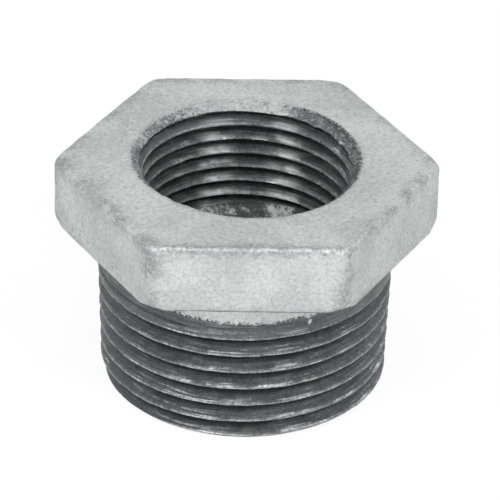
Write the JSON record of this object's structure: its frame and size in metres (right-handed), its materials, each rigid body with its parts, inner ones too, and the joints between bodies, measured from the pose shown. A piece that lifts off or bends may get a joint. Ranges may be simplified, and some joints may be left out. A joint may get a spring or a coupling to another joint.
{
  "type": "hex bushing",
  "caption": "Reducing bushing: low hexagon head, round collar, taper-threaded shank and an open bore threaded from the head.",
  "frame": {"origin": "centre of the shank's end face, on which the bushing stands", "axes": "+Z along the bore axis towards the head; two flats of the hexagon face +Y and -Y, two corners lie along X"},
  "size_m": [0.0428, 0.0376, 0.0268],
  "materials": {
    "galvanised_iron": "hot-dip galvanised casting, threads cut after dipping"
  },
  "bodies": {
    "root": {"bushing": "galvanised_iron"}
  },
  "joints": []
}
